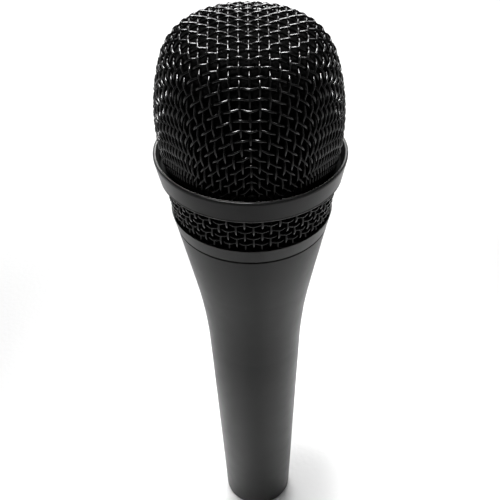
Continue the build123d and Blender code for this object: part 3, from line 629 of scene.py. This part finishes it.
class Finish:
    """A material and short ways to add the nodes that these finishes share."""

    def __init__(self, name):
        self.material = bpy.data.materials.new(name)
        self.material.use_nodes = True
        self.nodes = self.material.node_tree.nodes
        self.links = self.material.node_tree.links
        self.shader = self.nodes["Principled BSDF"]
        self.place = self.nodes.new("ShaderNodeTexCoord").outputs["Object"]

    def stretched(self, scale):
        """Object coordinates with each axis scaled, for grain that runs one way."""
        mapping = self.nodes.new("ShaderNodeMapping")
        mapping.inputs["Scale"].default_value = scale
        self.links.new(self.place, mapping.inputs["Vector"])
        return mapping.outputs["Vector"]

    def noise(self, size, detail=3.0, place=None):
        """Noise with features of about size metres."""
        node = self.nodes.new("ShaderNodeTexNoise")
        node.inputs["Scale"].default_value = 1 / size
        node.inputs["Detail"].default_value = detail
        self.links.new(place or self.place, node.inputs["Vector"])
        return node.outputs["Fac"]

    def cells(self, size):
        """Distance to the nearest of scattered points about size metres apart."""
        node = self.nodes.new("ShaderNodeTexVoronoi")
        node.inputs["Scale"].default_value = 1 / size
        self.links.new(self.place, node.inputs["Vector"])
        return node.outputs["Distance"]

    def bands(self, size, direction="Z", distortion=0.0):
        """Even bands of about size metres across a direction."""
        node = self.nodes.new("ShaderNodeTexWave")
        node.wave_type = "BANDS"
        node.bands_direction = direction
        node.inputs["Scale"].default_value = WAVE_SCALE / size
        node.inputs["Distortion"].default_value = distortion
        self.links.new(self.place, node.inputs["Vector"])
        return node.outputs["Fac"]

    def rings(self, size):
        """Rings about the Z axis, size metres apart, as a lathe leaves them."""
        node = self.nodes.new("ShaderNodeTexWave")
        node.wave_type = "RINGS"
        node.rings_direction = "Z"
        node.inputs["Scale"].default_value = WAVE_SCALE / size
        node.inputs["Distortion"].default_value = 0.6
        self.links.new(self.place, node.inputs["Vector"])
        return node.outputs["Fac"]

    def axis_distance(self):
        """Distance from the Z axis."""
        node = self.nodes.new("ShaderNodeVectorMath")
        node.operation = "LENGTH"
        self.links.new(self.stretched((1, 1, 0)), node.inputs[0])
        return node.outputs["Value"]

    def attribute(self, name):
        """A value that the mesh keeps at each of its points."""
        node = self.nodes.new("ShaderNodeAttribute")
        node.attribute_name = name
        return node.outputs["Fac"]

    def spread(self, source, low, high, out_low=0.0, out_high=1.0):
        """source remapped from low..high to out_low..out_high, and held there."""
        node = self.nodes.new("ShaderNodeMapRange")
        limits = {"From Min": low, "From Max": high, "To Min": out_low, "To Max": out_high}
        for socket, value in limits.items():
            node.inputs[socket].default_value = value
        self.links.new(source, node.inputs["Value"])
        return node.outputs["Result"]

    def maths(self, operation, a, b=0):
        """An operation on numbers or sockets."""
        node = self.nodes.new("ShaderNodeMath")
        node.operation = operation
        for socket, value in zip(node.inputs, (a, b)):
            if isinstance(value, (int, float)):
                socket.default_value = value
            else:
                self.links.new(value, socket)
        return node.outputs["Value"]

    def mix(self, amount, first, second):
        """A colour between first and second, which are colours or sockets."""
        node = self.nodes.new("ShaderNodeMix")
        node.data_type = "RGBA"
        self.links.new(amount, node.inputs["Factor"])
        for socket, colour in zip((node.inputs[6], node.inputs[7]), (first, second)):
            if isinstance(colour, tuple):
                socket.default_value = (*colour, 1)
            else:
                self.links.new(colour, socket)
        return node.outputs[2]

    def colour(self, source):
        """Takes the surface's colour from a socket."""
        self.links.new(source, self.shader.inputs["Base Color"])

    def roughness(self, source):
        """Takes the surface's roughness from a socket."""
        self.links.new(source, self.shader.inputs["Roughness"])

    def bump(self, height, depth):
        """Adds relief: depth in metres between the height's 0 and 1."""
        node = self.nodes.new("ShaderNodeBump")
        node.inputs["Distance"].default_value = depth
        self.links.new(height, node.inputs["Height"])
        before = self.shader.inputs["Normal"].links
        if before:
            self.links.new(before[0].from_socket, node.inputs["Normal"])
        self.links.new(node.outputs["Normal"], self.shader.inputs["Normal"])

    def set(self, **values):
        """Even values on the shader's own sockets, by their names with underscores."""
        for name, value in values.items():
            self.shader.inputs[name.replace("_", " ")].default_value = value


def mottled(name, light, dark, roughness, patch, grain, depth, metallic=0.0, **values):
    """A finish with soft patches of two near colours, uneven gloss and a fine grain.

    roughness is its (low, high), patch and grain are feature sizes and depth is the grain's relief, in
    metres. Other values go to the shader's sockets.
    """
    look = Finish(name)
    patches = look.noise(patch, 4)
    look.colour(look.mix(look.spread(patches, *MOST_NOISE), dark, light))
    look.roughness(look.spread(look.noise(patch * GLOSS_PATCH, 3), *MOST_NOISE, *roughness))
    look.bump(look.noise(grain, 2), depth)
    look.set(Metallic=metallic, **values)
    return look


ENAMEL_IOR = 1.5
SPRAY_FADE = 0.2 * MM  # how quickly a matt inside turns to satin


def paint_edge_highlights(look, edges, highlight_colour, gloss):
    """Paints a highlight along edges that run round the axis, in place of the light that they catch.

    edges are (radius, height, half width), and gloss is how much smoother the highlight is than the paint.
    """
    height = look.nodes.new("ShaderNodeSeparateXYZ")
    look.links.new(look.place, height.inputs["Vector"])
    radius = look.axis_distance()
    highlight_mask = None
    for edge_radius, edge_height, half_width in edges:
        outward = look.maths("SUBTRACT", radius, edge_radius)
        upward = look.maths("SUBTRACT", height.outputs["Z"], edge_height)
        squares = (look.maths("MULTIPLY", offset, offset) for offset in (outward, upward))
        distance = look.maths("SQRT", look.maths("ADD", *squares))
        near = look.spread(distance, 0.5 * half_width, half_width, 1.0, 0.0)
        highlight_mask = near if highlight_mask is None else look.maths("MAXIMUM", highlight_mask, near)
    patchy = look.spread(look.noise(4 * MM, 4), 0.3, 0.6, 0.5, 1.0)
    highlight_mask = look.maths("MULTIPLY", highlight_mask, patchy)
    paint = look.shader.inputs["Base Color"].links[0].from_socket
    satin = look.shader.inputs["Roughness"].links[0].from_socket
    # painted highlight: a paler colour along the edges, standing in for the light that they catch
    look.colour(look.mix(highlight_mask, paint, highlight_colour))
    look.roughness(look.maths("SUBTRACT", satin, look.maths("MULTIPLY", highlight_mask, gloss)))


def dull_inside(look, radius_limit, roughness):
    """Makes the faces nearer the axis than a radius matt, as spray that doesn't reach inside leaves them."""
    inside = look.spread(look.axis_distance(), radius_limit - SPRAY_FADE, radius_limit, 1.0, 0.0)
    satin = look.shader.inputs["Roughness"].links[0].from_socket
    look.roughness(look.maths("MAXIMUM", satin, look.maths("MULTIPLY", inside, roughness)))


def wire_enamel():
    """Gloss black enamel on wire: pooled between the crowns, rubbed a little dull on top of them."""
    look = Finish("wire_enamel")
    crown = look.spread(look.attribute("swing"), 0.5, 1.0)
    patches = look.spread(look.noise(6 * MM, 3), 0.4, 0.7)
    wear = look.maths("MULTIPLY", crown, patches)
    look.colour(look.mix(wear, (0.0008, 0.0008, 0.0008), (0.002, 0.002, 0.0019)))
    gloss = look.spread(look.noise(1.5 * MM, 3), 0.35, 0.7, 0.13, 0.22)
    look.roughness(look.maths("ADD", gloss, look.maths("MULTIPLY", wear, 0.06)))
    look.bump(look.noise(0.45 * MM, 3), 0.01 * MM)
    look.set(IOR=ENAMEL_IOR)
    return look.material


def foam():
    """Open-cell black foam: round pores with thin paler walls."""
    look = Finish("black_foam")
    pores = look.cells(0.9 * MM)
    look.colour(look.mix(look.spread(pores, 0.2, 0.6), (0.0004, 0.0004, 0.0004), (0.0014, 0.0014, 0.0014)))
    look.roughness(look.spread(look.noise(0.5 * MM), 0.3, 0.7, 0.85, 1.0))
    look.bump(pores, 0.4 * MM)
    look.set(Specular_IOR_Level=0.03)
    return look.material


def turned_metal(name, light, dark, roughness, pitch):
    """Machined metal with the lathe's rings, pitch metres apart, and a few stains."""
    look = Finish(name)
    look.colour(look.mix(look.spread(look.noise(3 * MM, 4), 0.3, 0.7), dark, light))
    rings = look.rings(pitch)
    look.roughness(look.spread(rings, 0.0, 1.0, *roughness))
    look.bump(rings, 0.006 * MM)
    look.set(Metallic=1.0)
    return look.material


def winding(name, light, dark, pitch, direction):
    """Fine wire wound side by side under lacquer or tape."""
    look = Finish(name)
    turns = look.bands(pitch, direction, 0.4)
    look.colour(look.mix(turns, dark, light))
    look.roughness(look.spread(look.noise(2 * MM), 0.3, 0.7, 0.25, 0.5))
    look.bump(turns, 0.03 * MM)
    look.set(Coat_Weight=0.3)
    return look.material


def felt(name, light, dark):
    """Pressed fibres, matted, with a soft sheen."""
    look = Finish(name)
    fibres = look.noise(0.25 * MM, 6, look.stretched((1, 1, 3)))
    look.colour(look.mix(look.spread(fibres, *MOST_NOISE), dark, light))
    look.roughness(look.spread(fibres, 0.3, 0.7, 0.9, 1.0))
    look.bump(fibres, 0.15 * MM)
    look.set(Sheen_Weight=0.4)
    return look.material


def cloth(name, light, dark, pitch):
    """Plain-woven cloth: two sets of threads that cross."""
    look = Finish(name)
    weave = look.maths("MULTIPLY", look.bands(pitch, "X"), look.bands(pitch, "Y"))
    look.colour(look.mix(weave, dark, light))
    look.roughness(look.spread(look.noise(1 * MM), 0.3, 0.7, 0.7, 0.9))
    look.bump(weave, 0.08 * MM)
    return look.material


handle_paint = mottled(
    "handle_enamel", (0.0062, 0.0066, 0.0060), (0.0052, 0.0056, 0.0051),
    (0.36, 0.4), 14 * MM, 0.22 * MM, 0.012 * MM, Specular_IOR_Level=0.22,
).material
collar_paint = mottled(
    "collar_enamel", (0.0050, 0.0053, 0.0049), (0.0042, 0.0045, 0.0041),
    (0.34, 0.38), 11 * MM, 0.22 * MM, 0.01 * MM, Specular_IOR_Level=0.26,
).material
belt_look = mottled(
    "belt_enamel", (0.0030, 0.0030, 0.0030), (0.0024, 0.0024, 0.0025),
    (0.28, 0.33), 9 * MM, 0.3 * MM, 0.008 * MM, Specular_IOR_Level=0.24,
)
belt_low, belt_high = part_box("belt")
LIP_INNER_RADIUS = 23.35 * MM
BELT_FOOT_RADIUS = 23.0 * MM
# the edges that get a painted highlight: its foot, and the inside of its upper lip
belt_highlight_edges = (
    (BELT_FOOT_RADIUS, belt_low.z + 0.36 * MM, 0.17 * MM),
    (LIP_INNER_RADIUS, belt_high.z, 0.16 * MM),
)
paint_edge_highlights(belt_look, belt_highlight_edges, highlight_colour=(0.2, 0.2, 0.195), gloss=0.08)
dull_inside(belt_look, LIP_INNER_RADIUS - 0.1 * MM, roughness=0.75)
backing_paint = mottled(
    "backing_ring_enamel", (0.012, 0.012, 0.012), (0.008, 0.008, 0.008),
    (0.4, 0.55), 5 * MM, 0.3 * MM, 0.01 * MM,
).material
black_foam = foam()
insert_plastic = mottled(
    "insert_plastic", (0.022, 0.022, 0.023), (0.015, 0.015, 0.016),
    (0.42, 0.6), 4 * MM, 0.15 * MM, 0.01 * MM,
).material
pin_plating = mottled(
    "pin_plating", (0.78, 0.75, 0.69), (0.62, 0.59, 0.54),
    (0.16, 0.3), 1.5 * MM, 0.2 * MM, 0.004 * MM, metallic=1.0,
).material
screw_steel = mottled(
    "screw_steel", (0.16, 0.16, 0.17), (0.08, 0.08, 0.085),
    (0.3, 0.5), 1 * MM, 0.2 * MM, 0.006 * MM, metallic=1.0,
).material
contact_brass = mottled(
    "contact_brass", (0.8, 0.62, 0.32), (0.62, 0.44, 0.2),
    (0.25, 0.45), 2 * MM, 0.2 * MM, 0.008 * MM, metallic=1.0,
).material
mount_plastic = mottled(
    "mount_plastic", (0.035, 0.035, 0.037), (0.024, 0.024, 0.026),
    (0.45, 0.6), 5 * MM, 0.2 * MM, 0.012 * MM,
).material
mount_rubber = mottled(
    "mount_rubber", (0.03, 0.03, 0.03), (0.018, 0.018, 0.018),
    (0.7, 0.9), 3 * MM, 0.2 * MM, 0.03 * MM,
).material
chamber_plastic = mottled(
    "chamber_plastic", (0.6, 0.57, 0.5), (0.52, 0.49, 0.42),
    (0.4, 0.55), 6 * MM, 0.25 * MM, 0.012 * MM,
).material
white_felt = felt("white_felt", (0.78, 0.76, 0.71), (0.6, 0.58, 0.54))
basket_plastic = mottled(
    "basket_plastic", (0.045, 0.045, 0.05), (0.03, 0.03, 0.034),
    (0.2, 0.34), 5 * MM, 0.25 * MM, 0.008 * MM,
).material
pot_steel = turned_metal("pot_steel", (0.56, 0.56, 0.55), (0.42, 0.42, 0.43), (0.22, 0.42), 0.3 * MM)
magnet_plating = turned_metal("magnet_plating", (0.7, 0.69, 0.67), (0.55, 0.55, 0.55), (0.1, 0.25), 0.4 * MM)
coil_copper = winding("coil_copper", (0.75, 0.33, 0.14), (0.4, 0.14, 0.05), 0.12 * MM, "Z")
film = mottled(
    "diaphragm_film", (0.72, 0.66, 0.46), (0.62, 0.55, 0.36),
    (0.12, 0.25), 3 * MM, 0.6 * MM, 0.01 * MM,
)
film.set(Coat_Weight=0.4)
clamp_brass = turned_metal("clamp_brass", (0.76, 0.58, 0.3), (0.6, 0.43, 0.2), (0.2, 0.4), 0.25 * MM)
cap_plastic = mottled(
    "cap_plastic", (0.065, 0.065, 0.07), (0.045, 0.045, 0.05),
    (0.4, 0.55), 4 * MM, 0.2 * MM, 0.012 * MM,
).material
screen_cloth = cloth("screen_cloth", (0.16, 0.16, 0.16), (0.03, 0.03, 0.03), 0.3 * MM)
tape = winding("coil_tape", (0.66, 0.5, 0.1), (0.5, 0.34, 0.05), 0.35 * MM, "Z")
terminal_board = cloth("terminal_board", (0.42, 0.28, 0.11), (0.3, 0.19, 0.07), 0.4 * MM)
lug_tin = mottled(
    "lug_tin", (0.72, 0.72, 0.7), (0.55, 0.55, 0.54),
    (0.18, 0.35), 0.8 * MM, 0.3 * MM, 0.03 * MM, metallic=1.0,
).material
lead_red = mottled(
    "lead_red", (0.5, 0.02, 0.018), (0.4, 0.012, 0.012),
    (0.35, 0.5), 4 * MM, 0.3 * MM, 0.01 * MM,
).material
lead_black = mottled(
    "lead_black", (0.025, 0.025, 0.025), (0.016, 0.016, 0.016),
    (0.35, 0.5), 4 * MM, 0.3 * MM, 0.01 * MM,
).material

NODE_FINISHES = {
    "handle": handle_paint,
    "collar": collar_paint,
    "belt": belt_look.material,
    "belt_backing_ring": backing_paint,
    "xlr_insert": insert_plastic,
    "xlr_pin_1": pin_plating,
    "xlr_pin_2": pin_plating,
    "xlr_pin_3": pin_plating,
    "insert_screw": screw_steel,
    "ground_contact": contact_brass,
    "mount_ring": mount_plastic,
    "rear_chamber": chamber_plastic,
    "capsule_basket": basket_plastic,
    "magnet_pot": pot_steel,
    "magnet": magnet_plating,
    "pole_plate": pot_steel,
    "voice_coil": coil_copper,
    "diaphragm": film.material,
    "surround": film.material,
    "clamp_ring": clamp_brass,
    "front_cap": cap_plastic,
    "hum_coil": tape,
    "terminal_disc": terminal_board,
    "terminal_lugs": lug_tin,
}
for node, finish in NODE_FINISHES.items():
    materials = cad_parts[node].data.materials
    materials.clear()
    materials.append(finish)
enamel = wire_enamel()
PIECE_FINISHES = {
    enamel: (dome_warp, dome_weft, skirt_warp, skirt_weft),
    black_foam: (dome_lining, skirt_lining),
    white_felt: (soft_discs["rear_felt_pad"], soft_discs["motor_felt_ring"]),
    screen_cloth: (soft_discs["front_cloth_screen"],),
    mount_rubber: (rubber_ring,),
    lead_red: (leads["lead_hot"],),
    lead_black: (leads["lead_cold"],),
}
for finish, pieces in PIECE_FINISHES.items():
    for piece in pieces:
        piece.data.materials.append(finish)

# ---- Floor, light and camera -----------------------------------------------------------------------
FLOOR_HALF = 3.0
FLOOR_LEVEL = -0.2 * MM  # just under the tail, so that the two faces don't flicker together
SKY_LIGHT = 0.08  # how strongly the sky lights the scene
SKY_SEEN = 0.35  # how bright it looks to the camera, past the floor's edge

floor_mesh = bpy.data.meshes.new("floor")
corners = [(x * FLOOR_HALF, y * FLOOR_HALF, FLOOR_LEVEL) for x, y in ((-1, -1), (1, -1), (1, 1), (-1, 1))]
floor_mesh.from_pydata(corners, [], [(0, 1, 2, 3)])
floor = bpy.data.objects.new("floor", floor_mesh)
bpy.context.scene.collection.objects.link(floor)
floor_look = mottled(
    "floor_paper", (0.9, 0.9, 0.9), (0.88, 0.88, 0.88),
    (0.8, 0.9), 400 * MM, 2 * MM, 0.1 * MM,
)
floor.data.materials.append(floor_look.material)

world = bpy.data.worlds.new("studio")
bpy.context.scene.world = world
world.use_nodes = True
sky = world.node_tree.nodes["Background"]
sky.inputs["Color"].default_value = (1, 1, 1, 1)
rays = world.node_tree.nodes.new("ShaderNodeLightPath")
brightness = world.node_tree.nodes.new("ShaderNodeMath")
brightness.operation = "MULTIPLY_ADD"  # SKY_SEEN for what the camera sees, SKY_LIGHT for the rest
brightness.inputs[1].default_value = SKY_SEEN - SKY_LIGHT
brightness.inputs[2].default_value = SKY_LIGHT
world.node_tree.links.new(rays.outputs["Is Camera Ray"], brightness.inputs[0])
world.node_tree.links.new(brightness.outputs["Value"], sky.inputs["Strength"])


def soft_light(name, place, aim, size, watts, spread=180):
    """A square soft box with a grid that keeps its light within spread degrees."""
    light = bpy.data.lights.new(name, "AREA")
    light.shape = "SQUARE"
    light.size = size
    light.energy = watts
    light.spread = radians(spread)
    lamp = bpy.data.objects.new(name, light)
    lamp.location = place
    lamp.rotation_euler = (Vector(aim) - Vector(place)).to_track_quat("-Z", "Y").to_euler()
    bpy.context.scene.collection.objects.link(lamp)


soft_light("ceiling", place=(0, 0, 3.0), aim=(0, 0, 0), size=2.5, watts=12)
soft_light("overhead", place=(0, 0.5, 1.0), aim=(0, 0.25, 0), size=0.8, watts=0.7, spread=60)
soft_light("key", place=(-0.03, 0.0, 0.45), aim=(0, 0, 0.16), size=0.1, watts=0.12, spread=36)
soft_light("backdrop", place=(0.0, 0.75, 0.65), aim=(0, 0.3, 0), size=0.5, watts=2.3, spread=90)
soft_light("left", place=(-0.5, 0.15, 0.12), aim=(0, 0, 0.1), size=0.4, watts=0.07, spread=60)
soft_light("right", place=(0.5, 0.15, 0.12), aim=(0, 0, 0.1), size=0.4, watts=0.05, spread=60)

CAMERA_PLACE = (0, -0.15069, 0.23713)
CAMERA_PITCH = radians(46.3)  # below the horizon
CAMERA_YAW = radians(-2.9)  # it aims a little to the right of the microphone
CAMERA_ROLL = radians(0.82)
SENSOR_WIDTH = 36.0  # this and the focal length are in millimetres
FOCAL_LENGTH = 49.0
SHIFT = (-0.0579, 0.1828)  # the photograph is one part of a larger frame

camera = bpy.data.cameras.new("camera")
camera.sensor_width = SENSOR_WIDTH
camera.lens = FOCAL_LENGTH
camera.shift_x, camera.shift_y = SHIFT
camera.clip_start = 0.01
viewer = bpy.data.objects.new("camera", camera)
viewer.location = CAMERA_PLACE
aim = Euler((pi / 2 - CAMERA_PITCH, 0, CAMERA_YAW)).to_matrix() @ Euler((0, 0, CAMERA_ROLL)).to_matrix()
viewer.rotation_euler = aim.to_euler()
bpy.context.scene.collection.objects.link(viewer)
bpy.context.scene.camera = viewer
bpy.context.scene.view_settings.view_transform = "Standard"
